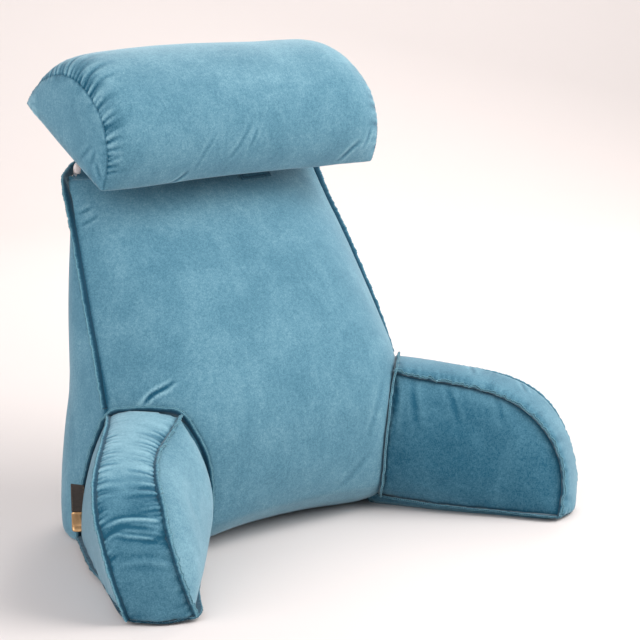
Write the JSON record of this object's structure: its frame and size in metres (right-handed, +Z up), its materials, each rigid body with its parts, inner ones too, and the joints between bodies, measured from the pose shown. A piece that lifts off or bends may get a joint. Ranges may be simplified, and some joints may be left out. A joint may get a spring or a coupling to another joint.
{
  "type": "backrest pillow",
  "caption": "Filled backrest pillow in crushed velvet with a leaning back, splayed arms, standing seams and a half-round head roll on top.",
  "frame": {"origin": "on the floor plane, under the middle of the pillow's outer box", "axes": "+X along the pillow's width, towards the right arm as seen by someone who faces it; -Y the way the arms point; +Z up"},
  "size_m": [0.7928, 0.486, 0.6405],
  "materials": {
    "velvet": "matte",
    "velvet_seam": "matte",
    "white_button": "gloss",
    "brown_ribbon": "matte",
    "brass_plate": "satin"
  },
  "bodies": {
    "root": {"back_cushion": "velvet", "arm_right": "velvet", "arm_left": "velvet", "neck_roll": "velvet", "front_seam_right": "velvet_seam", "front_seam_left": "velvet_seam", "arm_root_seam_right": "velvet_seam", "arm_root_seam_left": "velvet_seam", "arm_inner_seam_right": "velvet_seam", "arm_inner_seam_left": "velvet_seam", "arm_outer_seam_right": "velvet_seam", "arm_outer_seam_left": "velvet_seam", "arm_foot_seam_right": "velvet_seam", "arm_foot_seam_left": "velvet_seam", "strap_end": "velvet", "corner_button": "white_button", "label_ribbon": "brown_ribbon", "label_plate": "brass_plate"}
  },
  "joints": []
}
